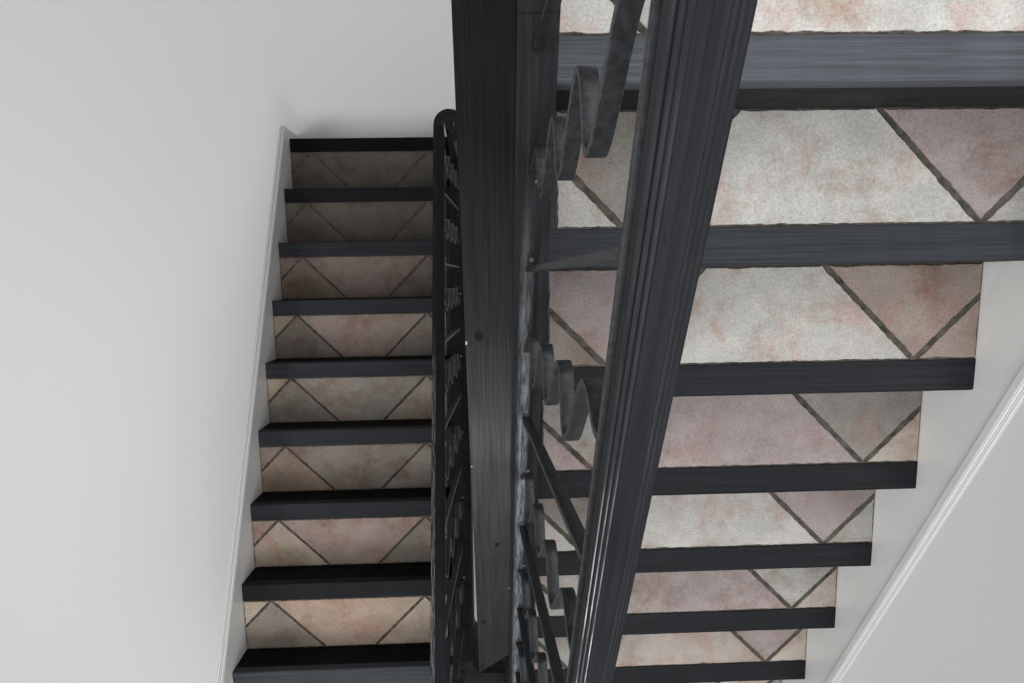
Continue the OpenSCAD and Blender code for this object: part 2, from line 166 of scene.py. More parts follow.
# Painted light and shade along the beam: share of the way up the beam, and how much of its paint's lightness
# shows there, darkest at its head
BEAM_PAINTED_LIGHT_AND_SHADE = ((0.30, 0.42), (0.50, 0.62), (0.63, 1.0), (0.76, 0.34), (0.90, 0.13), (1.0, 0.12))
STRIP_PALE = (128, 133, 135)
KNOT_DARK = (24, 22, 21)
CHIP_PALE = (186, 190, 190)
FIBRE = 0.0028
FIBRE_LENGTH = 0.22
STRING_ARRIS = 0.0025
TIMBER_GLOSS = 0.07
STRING_UP = 0.090
BEAM_UP = 0.085
BEAM_LENGTH = 1.87
STRIP_FROM, STRIP_TO, STRIP_FADE = 0.011, 0.029, 0.004
STRIP_STARTS, STRIP_FULL = 1.62, 1.25
HOLE_AT, BUTT_AT = 1.349, 1.803
# Knots and chips: how far up the upper flight and across the beam, and how large
KNOTS = ((1.390, 0.023, 0.010), (0.905, 0.051, 0.007), (0.640, 0.016, 0.008), (1.690, 0.060, 0.006))
CHIPS = ((1.378, 0.0, 0.004), (1.120, 0.002, 0.002), (0.760, 0.078, 0.002))
beam_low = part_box("well_beam")[0]
string_low, string_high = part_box("upper_string")
lower_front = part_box("lower_nosings")[1].y
upper_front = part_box("upper_nosings")[0].y
half_landing_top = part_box("half_landing_floor")[1].z


def on_lower(s, h, x):
    """A point over the lower flight: s up the flight, h plumb over the line of its nosings."""
    return Vector((x, lower_front - s, RISE + s * SLOPE + h))


def on_upper(s, h, x):
    """The same over the upper flight."""
    return Vector((x, upper_front + s, half_landing_top + RISE + s * SLOPE + h))


def spot(tree, centre, size, turn):
    """An oval patch of this half size round a point, 1 in its middle and 0 at its rim."""
    place = tree.nodes.new("ShaderNodeTexCoord")
    fit = tree.nodes.new("ShaderNodeMapping")
    fit.vector_type = "TEXTURE"
    fit.inputs["Location"].default_value = centre
    fit.inputs["Rotation"].default_value = (turn, 0, 0)
    fit.inputs["Scale"].default_value = size
    ball = tree.nodes.new("ShaderNodeTexGradient")
    ball.gradient_type = "SPHERICAL"
    tree.links.new(place.outputs["Object"], fit.inputs["Vector"])
    tree.links.new(fit.outputs["Vector"], ball.inputs["Vector"])
    return ball.outputs["Fac"]


def timber_paint(name, deep, pale, along, roughness=0.5, streaks=0.6):
    """Black paint over wood. The grain runs along X, or up a slope of this angle."""
    made, tree, shader = new_finish(name, roughness)
    across = along == "x"
    turn = 0.0 if across else along
    fibre = (FIBRE_LENGTH, FIBRE, FIBRE) if across else (FIBRE, FIBRE_LENGTH, FIBRE)
    fibres = grain(tree, fibre, turn, detail=6, roughness=0.62)
    bands = grain(tree, tuple(5 * part for part in fibre), turn, detail=3, seed=3.1)
    rubbed = grain(tree, (0.06, 0.12, 0.06), turn, detail=6, seed=7.7)
    base = shades(tree, fibres, (0.34, deep), (0.74, pale))
    base = laid_over(tree, base, shades(tree, bands, (0.32, 0.5), (0.66, 1.0)), streaks, "MULTIPLY")
    base = laid_over(tree, base, shades(tree, rubbed, (0.34, 0.62), (0.66, 1.0)), streaks, "MULTIPLY")
    tree.links.new(base, shader.inputs["Base Color"])
    gloss = shades(tree, rubbed, (0.3, roughness - 0.08), (0.7, roughness + 0.12))
    tree.links.new(gloss, shader.inputs["Roughness"])
    shader.inputs["Specular IOR Level"].default_value = TIMBER_GLOSS
    relief(tree, shader, fibres, 0.0007, streaks)
    return made


def paint_of(finish):
    """A finish's tree, its shader and the colour that the shader has so far."""
    shader = finish.node_tree.nodes["Principled BSDF"]
    return finish.node_tree, shader, shader.inputs["Base Color"].links[0].from_socket


def ramp_along(tree, axis, start, end):
    """0 to 1 between two places along an axis."""
    place = tree.nodes.new("ShaderNodeTexCoord")
    split = tree.nodes.new("ShaderNodeSeparateXYZ")
    ramp = tree.nodes.new("ShaderNodeMapRange")
    ramp.inputs["From Min"].default_value = start
    ramp.inputs["From Max"].default_value = end
    tree.links.new(place.outputs["Object"], split.inputs["Vector"])
    tree.links.new(split.outputs[axis], ramp.inputs["Value"])
    return ramp.outputs["Result"]


def product(tree, a, b):
    """One amount times another."""
    times = tree.nodes.new("ShaderNodeMath")
    times.operation = "MULTIPLY"
    tree.links.new(a, times.inputs[0])
    tree.links.new(b, times.inputs[1])
    return times.outputs["Value"]


lower_string_paint = timber_paint("lower_string_paint", PAINT_BLACK, PAINT_WORN, -PITCH)
upper_string_paint = timber_paint("upper_string_paint", PAINT_BLACK, PAINT_WORN, PITCH)
beam_paint = timber_paint("beam_paint", BEAM_BLACK, BEAM_PALE, PITCH, 0.6, 0.35)
level_paint = timber_paint("landing_edge_paint", PAINT_BLACK, PAINT_WORN, 0.0)

tree, shader, base = paint_of(beam_paint)
# Painted light and shade: the beam's paint is lightened and darkened along its length.
up_beam = ramp_along(tree, "Y", upper_front, upper_front + BEAM_LENGTH)
base = laid_over(tree, base, shades(tree, up_beam, *BEAM_PAINTED_LIGHT_AND_SHADE), 1.0, "MULTIPLY")
for s, across, size in KNOTS:
    knot = spot(tree, on_upper(s, BEAM_UP, beam_low.x + across), (size, size * 1.5, size), PITCH)
    base = laid_over(tree, base, KNOT_DARK, shades(tree, knot, (0.05, 0.0), (0.45, 0.85)))
for s, across, size in CHIPS:
    chip = spot(tree, on_upper(s, BEAM_UP, beam_low.x + across), (size, size * 1.4, size), PITCH)
    base = laid_over(tree, base, CHIP_PALE, shades(tree, chip, (0.15, 0.0), (0.4, 1.0)))
tree.links.new(base, shader.inputs["Base Color"])

tree, shader, base = paint_of(upper_string_paint)
strip_near, strip_far = string_low.x + STRIP_FROM, string_low.x + STRIP_TO
strip = product(
    tree,
    ramp_along(tree, "X", strip_near - STRIP_FADE, strip_near + STRIP_FADE),
    ramp_along(tree, "X", strip_far + STRIP_FADE, strip_far - STRIP_FADE),
)
worn = product(tree, strip, ramp_along(tree, "Y", upper_front + STRIP_STARTS, upper_front + STRIP_FULL))
flakes = grain(tree, (0.005, 0.05, 0.02), PITCH, detail=8, roughness=0.7)
shown = product(tree, worn, shades(tree, flakes, (0.4, 0.15), (0.6, 0.95)))
base = laid_over(tree, base, STRIP_PALE, shown)
hole = spot(tree, on_upper(HOLE_AT, STRING_UP, string_low.x + 0.006), (0.004, 0.006, 0.004), PITCH)
base = laid_over(tree, base, KNOT_DARK, shades(tree, hole, (0.1, 0.0), (0.4, 0.9)))
butt = spot(tree, on_upper(BUTT_AT, STRING_UP, string_low.x + 0.03), (0.2, 0.0016, 0.2), 0.0)
base = laid_over(tree, base, KNOT_DARK, shades(tree, butt, (0.2, 0.0), (0.4, 0.9)))
tree.links.new(base, shader.inputs["Base Color"])
for node, finish in (
    ("lower_string", lower_string_paint),
    ("upper_string", upper_string_paint),
    ("well_beam", beam_paint),
    ("top_landing_edge", level_paint),
):
    dress(node, finish, STRING_ARRIS)

# The string's turn at the well end.
# Short pieces of the same timber, glued up and cut to a quarter ring, that carry the outer
# string from the lower flight round into the upper one. It is painted with them.
TURN_STEPS = 24
TURN_ARRIS = 0.003
turn_low, turn_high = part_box("string_turn")
turn_outer = turn_high.y - turn_low.y
turn_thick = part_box("lower_string")[1].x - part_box("lower_string")[0].x
turn_centre = Vector((turn_low.x + turn_outer, turn_high.y, 0))


def skin(shape, rings, wear=(), shade=1.0):
    """A closed skin over a run of like rings, with the wear of each ring point and a painted light or shade
    for its paint.
    """
    values = shape.verts.layers.float
    worn_layer = values.get("wear") or values.new("wear")
    shade_layer = values.get("shade") or values.new("shade")
    placed = [[shape.verts.new(p) for p in ring] for ring in rings]
    for ring in placed:
        for v in ring:
            v[shade_layer] = shade
        for v, value in zip(ring, wear):
            v[worn_layer] = value
    for a, b in zip(placed, placed[1:]):
        for k, v in enumerate(a):
            shape.faces.new((a[k - 1], v, b[k], b[k - 1]))
    shape.faces.new(placed[0])
    shape.faces.new(placed[-1][::-1])


def mesh_of(name, shape, sharp):
    """A finished mesh with true normals, smooth but for its arrises."""
    bmesh.ops.recalc_face_normals(shape, faces=shape.faces)
    mesh = bpy.data.meshes.new(name)
    shape.to_mesh(mesh)
    shape.free()
    mesh.polygons.foreach_set("use_smooth", [True] * len(mesh.polygons))
    mesh.set_sharp_from_angle(angle=math.radians(sharp))
    return mesh


def ride_with_stair(name, mesh, finish, slot, *nodes):
    """A new piece of the stair, which may stand for CAD nodes."""
    made = bpy.data.objects.new(name, mesh)
    bpy.context.scene.collection.objects.link(made)
    mesh.materials.append(finish)
    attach(made, "root")
    if nodes:
        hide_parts(*nodes)


def add_piece(name, shape, finish, slot, *nodes, sharp=38):
    """A new piece made from a shape, smooth but for arrises of more than this angle."""
    ride_with_stair(name, mesh_of(name, shape, sharp), finish, slot, *nodes)


def turn_ring(outward, ring_centre):
    """Upright section of the turn, from its inner face along outward, with eased arrises."""
    inner = ring_centre + outward * (turn_outer - turn_thick)
    outer = ring_centre + outward * turn_outer
    corners = []
    for face, sign in ((inner, 1), (outer, -1)):
        lip = face + outward * TURN_ARRIS * sign
        rise = [
            face + Vector((0, 0, turn_low.z)),
            face + Vector((0, 0, turn_high.z - TURN_ARRIS)),
            lip + Vector((0, 0, turn_high.z)),
        ]
        corners += rise if sign == 1 else rise[::-1]
    return corners


rings = []
for k in range(TURN_STEPS + 1):
    angle = math.pi + math.pi / 2 * k / TURN_STEPS
    rings.append(turn_ring(Vector((math.cos(angle), math.sin(angle), 0)), turn_centre))
rings.append(turn_ring(Vector((0, -1, 0)), Vector((turn_high.x, turn_centre.y, 0))))
shape = bmesh.new()
skin(shape, rings)
turn_paint = timber_paint("string_turn_paint", PAINT_BLACK, PAINT_WORN, "x")
add_piece("string_turn_ring", shape, turn_paint, "black_timber", "string_turn")

# Riser boards.
# Planed softwood boards, nailed up between the strings, that close each step under its nosing.
# They are brushed with the same black paint; on the lower flight it is darker, as painted shade on risers
# that face away from the light.
LOWER_RISER_SHADED_DEEP = (14, 15, 16)
LOWER_RISER_SHADED_PALE = (22, 23, 24)
RISER_DEEP = (36, 37, 38)
RISER_PALE = (48, 49, 50)
# The lower risers' darker paint is painted shade.
dress("lower_risers", timber_paint("lower_riser_shaded_paint", LOWER_RISER_SHADED_DEEP, LOWER_RISER_SHADED_PALE, "x", 0.7, 0.4))
dress("upper_risers", timber_paint("upper_riser_paint", RISER_DEEP, RISER_PALE, "x", 0.6, 0.4))

# Steps: mortar bed and stone-look tiles.
# Stoneware squares laid cornerwise in mortar and cut to the step, so that each step shows two
# joints that meet at the nosing. The joints are raked out below the tiles and full of dirt.
JOINT_BROWN = (92, 87, 79)
JOINT_DARK = (48, 45, 41)
JOINT_DEPTH = 0.0028
UPPER_JOINT = 0.0095
LOWER_JOINT = 0.0075
BACK_JOINT = 0.0028
END_JOINT = 0.002
EDGE_ROUND = 0.0012
BITE_LARGE, LARGE_PER_METRE = 0.0030, 38
BITE_SMALL, SMALL_PER_METRE = 0.0020, 160
BITE_STEP = 0.0036
BITE_SLOPE = 0.12
EDGE_SLOPE = 0.22
TILE_SHARP = 22
TILE_DARKEST, TILE_PALEST = 0.94, 1.06
LOWER_TREADS, UPPER_TREADS = 8, 7
TILE_COLOURS = {
    "w": (190, 188, 183),
    "g": (170, 168, 163),
    "d": (142, 137, 131),
    "p": (163, 152, 150),
    "b": (161, 147, 138),
    "s": (182, 172, 162),
}
# One letter of a colour for each tile, from the left of a step or landing to its right
UPPER_TILES = ("pwgwg", "bgsps", "gwpgs", "wdwpg", "pgpds", "dpwbb", "wdwpg")
TOP_TILES = "wsgwwpg"
HALF_LANDING_TILES = "wgspwgdwsg"
# Painted light on the top landing's tiles: they are made lighter than the others.
TOP_LANDING_PAINTED_LIGHT = 1.42
EARTH_COLOURS = {
    "w": (186, 173, 158),
    "g": (168, 160, 149),
    "d": (154, 144, 133),
    "p": (174, 155, 145),
    "b": (180, 160, 142),
    "s": (192, 176, 158),
}
LOWER_TILES = ("dgdgp", "gpdgd", "pbpdg", "bdpgd", "sggwd", "pbdgp", "bspdg", "sdbsg")
# Painted shade on the tiles of each step, from the foot up: how much of their lightness is left, darker
# towards the foot
FOOT_PAINTED_SHADE = (0.30, 0.36, 0.52, 0.74, 0.76, 0.76, 0.88, 1.0)
LOWER_APEX, LOWER_DIAGONAL = 0.278, 0.558
UPPER_APEX, UPPER_DIAGONAL = 1.354, 0.608
NOSING_DEEP = 0.063
RETURN_WIDE = 0.022
NO_TINT = (255, 255, 255)
ROSY_TINT = (250, 222, 217)
RUST_TINT = (222, 200, 184)
PIT_DARK = (58, 52, 47)
TILE_GLOSS = 0.3


def from_mesh(tree, layer):
    """What a mesh stores for its points under this name."""
    stored = tree.nodes.new("ShaderNodeAttribute")
    stored.attribute_name = layer
    return stored


mortar, tree, shader = new_finish("joint_mortar", 0.95)
dirt = grain(tree, (0.02, 0.02, 0.02), detail=8, roughness=0.65)
grit = grain(tree, (0.0025, 0.0025, 0.0025), detail=3)
tree.links.new(shades(tree, dirt, (0.36, JOINT_DARK), (0.66, JOINT_BROWN)), shader.inputs["Base Color"])
relief(tree, shader, grit, 0.001)

glaze, tree, shader = new_finish("stone_look_tile", 0.6)
clouds = grain(tree, (0.07, 0.07, 0.07), detail=10, roughness=0.68)
drift = grain(tree, (0.16, 0.09, 0.16), detail=8, roughness=0.62, seed=1.7)
rosy = grain(tree, (0.07, 0.10, 0.07), detail=8, roughness=0.68, seed=5.2)
rust = grain(tree, (0.12, 0.12, 0.12), detail=8, roughness=0.7, seed=8.4)
speckle = grain(tree, (0.0048, 0.0048, 0.0048), detail=6, roughness=0.8, seed=2.4)
fine = grain(tree, (0.0018, 0.0018, 0.0018), detail=3, roughness=0.7, seed=4.9)
pits = grain(tree, (0.0065, 0.0065, 0.0065), detail=4, roughness=0.6, seed=9.6)
base = from_mesh(tree, "tile_tint").outputs["Color"]
for layer, dark, light, amount in (
    (clouds, (0.36, 0.66), (0.58, 1.0), 0.45),
    (drift, (0.36, 0.66), (0.6, 1.0), 0.5),
    (rosy, (0.5, NO_TINT), (0.68, ROSY_TINT), 1.0),
    (rust, (0.52, NO_TINT), (0.70, RUST_TINT), 1.0),
    (speckle, (0.38, 0.52), (0.56, 1.0), 0.55),
    (fine, (0.36, 0.66), (0.6, 1.0), 0.5),
):
    base = laid_over(tree, base, shades(tree, layer, dark, light), amount, "MULTIPLY")
base = laid_over(tree, base, PIT_DARK, shades(tree, pits, (0.27, 0.85), (0.33, 0.0)))
tree.links.new(base, shader.inputs["Base Color"])
tree.links.new(shades(tree, clouds, (0.3, 0.52), (0.7, 0.72)), shader.inputs["Roughness"])
shader.inputs["Specular IOR Level"].default_value = TILE_GLOSS
relief(tree, shader, clouds, 0.002, 0.5)
relief(tree, shader, speckle, 0.0005, 0.8)


def lowered_bed(node):
    """The CAD solid with its top face lowered to the floor of the joints."""
    mesh = nodes_of_frame[node].data.copy()
    top = max(v.co.z for v in mesh.vertices)
    for v in mesh.vertices:
        if v.co.z > top - JOINT_DEPTH / 2:
            v.co.z -= JOINT_DEPTH
    mesh.materials.clear()
    ride_with_stair(node + "_bed", mesh, mortar, "floor_tile", node)


def clipped(outline, keep):
    """The part of a convex outline where keep isn't negative."""
    kept = []
    for a, b in zip(outline, outline[1:] + outline[:1]):
        da, db = keep(a), keep(b)
        if da >= 0:
            kept.append(a)
        if da * db < 0:
            kept.append(a.lerp(b, da / (da - db)))
    return kept


def outline_area(outline):
    """Area inside an outline."""
    return abs(sum(a.cross(b) for a, b in zip(outline, outline[1:] + outline[:1]))) / 2


def cut_tiles(field, apex, apex_y, diagonal, joint):
    """Outlines of squares laid cornerwise, with corners at the apex, cut to a rectangular field."""
    x0, x1, y0, y1 = field
    half = diagonal / 2
    reach = half - joint / 2 * math.sqrt(2)
    smallest = 1e-4
    sides = (lambda p: p.x - x0, lambda p: x1 - p.x, lambda p: p.y - y0, lambda p: y1 - p.y)
    cells = []
    for i in range(math.floor((x0 - apex) / half) - 2, math.ceil((x1 - apex) / half) + 3):
        for j in range(math.floor((y0 - apex_y) / half) - 2, math.ceil((y1 - apex_y) / half) + 3):
            if (i + j) % 2 == 0:
                continue
            middle = Vector((apex + i * half, apex_y + j * half))
            square = [middle + reach * Vector(d) for d in ((1, 0), (0, 1), (-1, 0), (0, -1))]
            for keep in sides:
                square = clipped(square, keep) if len(square) > 2 else square
            if len(square) > 2 and outline_area(square) > smallest:
                cells.append(square)
    return cells


def bitten(outline, level):
    """An outline whose sides have been nibbled by cutting and wear."""
    ring = []
    for a, b in zip(outline, outline[1:] + outline[:1]):
        inward = Vector((-(b - a).y, (b - a).x)).normalized()
        steps = max(1, round((b - a).length / BITE_STEP))
        for k in range(steps):
            p = a.lerp(b, k / steps)
            large = mottle.noise(Vector((p.x * LARGE_PER_METRE, p.y * LARGE_PER_METRE, level * 9)))
            small = mottle.noise(Vector((p.x * SMALL_PER_METRE, p.y * SMALL_PER_METRE, level * 31)))
            depth = abs(large) * BITE_LARGE + max(small, 0) * BITE_SMALL
            to_corner = min(k, steps - k) / steps * (b - a).length
            ring.append(p + inward * min(depth, BITE_SLOPE * to_corner))
    return ring


def lay_tiles(name, outlines, top, order, colours, kept=1.0):
    """Tiles with nibbled, rounded edges. Order names their colours; kept is the painted light or shade laid
    on them, as a share of their lightness.
    """
    shape = bmesh.new()
    tint_layer = shape.verts.layers.float_color.new("tile_tint")
    bottom = top - 2 * JOINT_DEPTH
    for laid, outline in enumerate(outlines):
        turning = sum(a.cross(b) for a, b in zip(outline, outline[1:] + outline[:1]))
        ring = bitten(outline if turning > 0 else outline[::-1], top)
        middle = sum(ring, Vector((0, 0))) / len(ring)
        red, green, blue, full = colour(*colours[order[laid % len(order)]])
        vary = kept * dice.uniform(TILE_DARKEST, TILE_PALEST)
        shade = (red * vary, green * vary, blue * vary, full)
        levels = ((0.0, bottom), (0.0, top - EDGE_ROUND), (0.35, top - EDGE_ROUND * 0.35), (1.0, top))
        placed = []
        for inset, z in levels:
            verts = []
            for k, p in enumerate(ring):
                side = ring[(k + 1) % len(ring)] - ring[k - 1]
                to_corner = min((p - corner).length for corner in outline)
                rounding = min(EDGE_ROUND, EDGE_SLOPE * to_corner) * inset
                inward = Vector((-side.y, side.x)).normalized() * rounding
                if (middle - p).dot(inward) < 0:
                    inward = Vector((0, 0))
                v = shape.verts.new((*(p + inward), z))
                v[tint_layer] = shade
                verts.append(v)
            placed.append(verts)
        for a, b in zip(placed, placed[1:]):
            for k, v in enumerate(a):
                shape.faces.new((a[k - 1], v, b[k], b[k - 1]))
        shape.faces.new(placed[-1])
        shape.faces.new(placed[0][::-1])
    add_piece(name, shape, glaze, "floor_tile", sharp=TILE_SHARP)


dice = random.Random(17)
lower_x0, lower_x1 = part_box("lower_tread_1")[0].x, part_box("lower_tread_1")[1].x
upper_x0, upper_x1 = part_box("upper_tread_1")[0].x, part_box("upper_tread_1")[1].x
for i in range(1, LOWER_TREADS + 1):
    node = f"lower_tread_{i}"
    front = lower_front - (i - 1) * GOING - NOSING_DEEP
    back = lower_front - i * GOING
    field = (lower_x0 + END_JOINT, lower_x1 - RETURN_WIDE - END_JOINT, back + END_JOINT, front - BACK_JOINT)
    lowered_bed(node)
    outlines = cut_tiles(field, LOWER_APEX, front, LOWER_DIAGONAL, LOWER_JOINT)
    lay_tiles(node + "_tiles", outlines, i * RISE, LOWER_TILES[i - 1], EARTH_COLOURS, FOOT_PAINTED_SHADE[i - 1])
for i in range(1, UPPER_TREADS + 1):
    node = f"upper_tread_{i}"
    front = upper_front + (i - 1) * GOING + NOSING_DEEP
    back = upper_front + i * GOING
    field = (upper_x0 + RETURN_WIDE + END_JOINT, upper_x1 - END_JOINT, front + BACK_JOINT, back - END_JOINT)
    lowered_bed(node)
    outlines = cut_tiles(field, UPPER_APEX, front, UPPER_DIAGONAL, UPPER_JOINT)
    lay_tiles(node + "_tiles", outlines, half_landing_top + i * RISE, UPPER_TILES[i - 1], TILE_COLOURS)

# Landing floors.
# The same stoneware squares, bedded in mortar over the slabs. They run on over both landings, up
# to the skirting boards and round the turned string, and end at the nosings.
SKIRTING_THICK = 0.015
lowered_bed("half_landing_floor")
lowered_bed("top_landing_floor")
skirt_low, skirt_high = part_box("half_landing_skirting")
floor_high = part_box("half_landing_floor")[1]
landing_fields = (
    (skirt_low.x + SKIRTING_THICK, skirt_high.x - SKIRTING_THICK, skirt_low.y + SKIRTING_THICK, turn_low.y),
    (skirt_low.x + SKIRTING_THICK, lower_x1, turn_low.y, floor_high.y - BACK_JOINT),
    (string_high.x, skirt_high.x - SKIRTING_THICK, turn_low.y, upper_front),
)
outlines = []
for x0, x1, y0, y1 in landing_fields:
    field = (x0 + END_JOINT, x1 - END_JOINT, y0, y1 - END_JOINT)
    outlines += cut_tiles(field, LOWER_APEX, floor_high.y, LOWER_DIAGONAL, LOWER_JOINT)
lay_tiles("half_landing_tiles", outlines, half_landing_top, HALF_LANDING_TILES, TILE_COLOURS)
top_low, top_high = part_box("top_landing_floor")
field = (top_low.x + END_JOINT, top_high.x - SKIRTING_THICK - END_JOINT, top_low.y + BACK_JOINT, top_high.y)
outlines = cut_tiles(field, UPPER_APEX, top_low.y, UPPER_DIAGONAL, UPPER_JOINT)
# The top landing's tiles carry painted light.
lay_tiles("top_landing_tiles", outlines, top_high.z, TOP_TILES, TILE_COLOURS, TOP_LANDING_PAINTED_LIGHT)

# Nosings, and the returns beside the strings.
# Planed hardwood edges, screwed down level with the tiles and painted slate. Feet have rounded
# the front arris, dished the middle a little and knocked small bites out of it.
SLATE_DEEP = (40, 42, 45)
SLATE_PALE = (56, 59, 63)
NOSING_HIGH = 0.036
NOSE_ROUND = 0.0055
NOSE_STEP = 0.011
ROLL_PER_METRE, DENTS_PER_METRE = 14, 60
DISH = 0.0008
DENT = 0.0005
RETURN_THICK = 0.012
RETURN_GAP = 0.0015
# Painted light and shade on the nosing of each tread, from the foot up: how light its paint is made
LOWER_NOSING_PAINTED_LIGHT = (0.12, 0.45, 1.1, 1.15, 1.15, 1.1, 0.9, 0.5)
UPPER_NOSING_PAINTED_LIGHT = (0.55, 0.55, 0.55, 0.56, 0.56, 0.70, 1.35)
HALF_LANDING_NOSING_PAINTED_LIGHT = 1.8
TOP_LANDING_NOSING_PAINTED_LIGHT = 3.3
nosing_paint = timber_paint("nosing_paint", SLATE_DEEP, SLATE_PALE, "x", 0.48, 0.35)
tree, shader, base = paint_of(nosing_paint)
# The nosing paint is multiplied by the painted light and shade stored on each nosing.
nosing_painted_light = from_mesh(tree, "shade").outputs["Color"]
tree.links.new(laid_over(tree, base, nosing_painted_light, 1.0, "MULTIPLY"), shader.inputs["Base Color"])


def nosing_section(x, x0, x1, level):
    """Section of a worn nosing at x: depth back from its front, and height against its top."""
    middle = 1 - abs(2 * (x - x0) / (x1 - x0) - 1)
    worn = NOSE_ROUND * (1 + 0.25 * middle + 0.3 * mottle.noise(Vector((x * ROLL_PER_METRE, level, 0))))
    dish = DISH * middle
    points = [(0.0, -NOSING_HIGH), (0.0, -0.6 * NOSING_HIGH), (0.0, -worn)]
    for degrees in (160, 140, 120, 105):
        angle = math.radians(degrees)
        points.append((worn + worn * math.cos(angle), -worn + worn * math.sin(angle)))
    points += [(worn * 1.4, -dish * 0.5), (0.4 * NOSING_DEEP, -dish), (0.75 * NOSING_DEEP, -dish * 0.6)]
    points += [(NOSING_DEEP - 0.0012, 0.0), (NOSING_DEEP, -0.0012), (NOSING_DEEP, -NOSING_HIGH)]
    dented = []
    for k, (d, v) in enumerate(points):
        dent = DENT * mottle.noise(Vector((x * DENTS_PER_METRE, level * 7 + k, 3))) if 1 < k < 11 else 0.0
        dented.append((d + abs(dent) * (k < 6), v - abs(dent)))
    return dented


def lay_nosing(shape, x0, x1, front, back_sign, top, shade):
    """A nosing from wall to string whose depth runs from its front towards back_sign."""
    steps = round((x1 - x0) / NOSE_STEP)
    rings = []
    for k in range(steps + 1):
        x = x0 + (x1 - x0) * k / steps
        rings.append([(x, front + back_sign * d, top + v) for d, v in nosing_section(x, x0, x1, top)])
    skin(shape, rings, (), shade)


def lay_return(shape, x0, x1, front, back, top, shade):
    """A strip beside the string, with eased long edges."""
    ease = 0.0015
    left = [(x0, -RETURN_THICK), (x0, -ease), (x0 + ease, 0.0)]
    section = left + [(x1 - ease, 0.0), (x1, -ease), (x1, -RETURN_THICK)]
    skin(shape, [[(x, y, top + v) for x, v in section] for y in (front, back)], (), shade)


shape = bmesh.new()
for i in range(1, LOWER_TREADS + 1):
    front = lower_front - (i - 1) * GOING
    top, shade = i * RISE, LOWER_NOSING_PAINTED_LIGHT[i - 1]
    lay_nosing(shape, lower_x0, lower_x1, front, -1, top, shade)
    x0, x1 = lower_x1 - RETURN_WIDE, lower_x1 - RETURN_GAP
    lay_return(shape, x0, x1, front - NOSING_DEEP, front - GOING, top, shade)
add_piece("lower_nosing_boards", shape, nosing_paint, "black_timber", "lower_nosings")
shape = bmesh.new()
for i in range(1, UPPER_TREADS + 1):
    front = upper_front + (i - 1) * GOING
    top, shade = half_landing_top + i * RISE, UPPER_NOSING_PAINTED_LIGHT[i - 1]
    lay_nosing(shape, upper_x0, upper_x1, front, 1, top, shade)
    x0, x1 = upper_x0 + RETURN_GAP, upper_x0 + RETURN_WIDE
    lay_return(shape, x0, x1, front + NOSING_DEEP, front + GOING, top, shade)
add_piece("upper_nosing_boards", shape, nosing_paint, "black_timber", "upper_nosings")
shape = bmesh.new()
front = lower_front - LOWER_TREADS * GOING
lay_nosing(shape, lower_x0, lower_x1, front, -1, half_landing_top, HALF_LANDING_NOSING_PAINTED_LIGHT)
add_piece("half_landing_nosing_board", shape, nosing_paint, "black_timber", "half_landing_nosing")
shape = bmesh.new()
front = upper_front + UPPER_TREADS * GOING
top = half_landing_top + (UPPER_TREADS + 1) * RISE
lay_nosing(shape, upper_x0, upper_x1, front, 1, top, TOP_LANDING_NOSING_PAINTED_LIGHT)
add_piece("top_landing_nosing_board", shape, nosing_paint, "black_timber", "top_landing_nosing")

# White boards against the walls, their moulding, and the skirtings.
# Softwood boards, scribed to the steps, filled and painted in white gloss. A small machined
# moulding with two beads is pinned along the top and runs back to the wall.
GLOSS_WHITE = (240, 240, 238)
GLOSS_SHADE = (235, 235, 233)
MOULDING_WHITE = (218, 218, 217)
MOULDING_DUST_AND_SHADE = (142, 141, 139)
WALL_BOARD_UP = 0.118
MOULDING_BELOW = 0.04
LOWER_MOULDING_END, UPPER_MOULDING_END = 2.02, 1.77
MOULDING_SHARP = 50
MOULDING_STEPS = 40
MOULDING = (
    (0.0000, 0.0000), (0.0008, 0.0010), (0.0030, 0.0014), (0.0042, 0.0028), (0.0060, 0.0036),
    (0.0078, 0.0028), (0.0095, 0.0016), (0.0130, 0.0012), (0.0162, 0.0018), (0.0178, 0.0032),
    (0.0192, 0.0037), (0.0208, 0.0030), (0.0225, 0.0024), (0.0258, 0.0022), (0.0258, 0.0000),
)
# How much of the darker colour each point of the section takes: dust, and painted shade in the quirks
DUST_AND_SHADE_LINES = (0.3, 0.2, 0.8, 0.1, 0.0, 0.1, 0.9, 0.2, 0.9, 0.1, 0.0, 0.1, 0.6, 0.0, 0.3)
moulding_gloss, tree, shader = new_finish("moulding_gloss_paint", 0.28)
tint = shades(tree, from_mesh(tree, "wear").outputs["Fac"], (0.0, MOULDING_WHITE), (1.0, MOULDING_DUST_AND_SHADE))
tree.links.new(tint, shader.inputs["Base Color"])
white_gloss, tree, shader = new_finish("white_gloss_paint", 0.28)
brushed = grain(tree, (0.02, 0.2, 0.02), PITCH, detail=4)
tree.links.new(shades(tree, brushed, (0.3, GLOSS_SHADE), (0.7, GLOSS_WHITE)), shader.inputs["Base Color"])
relief(tree, shader, brushed, 0.0004, 0.6)
for node in ("lower_wall_string", "upper_wall_string", "half_landing_skirting", "top_landing_skirting"):
    dress(node, white_gloss, 0.0015)
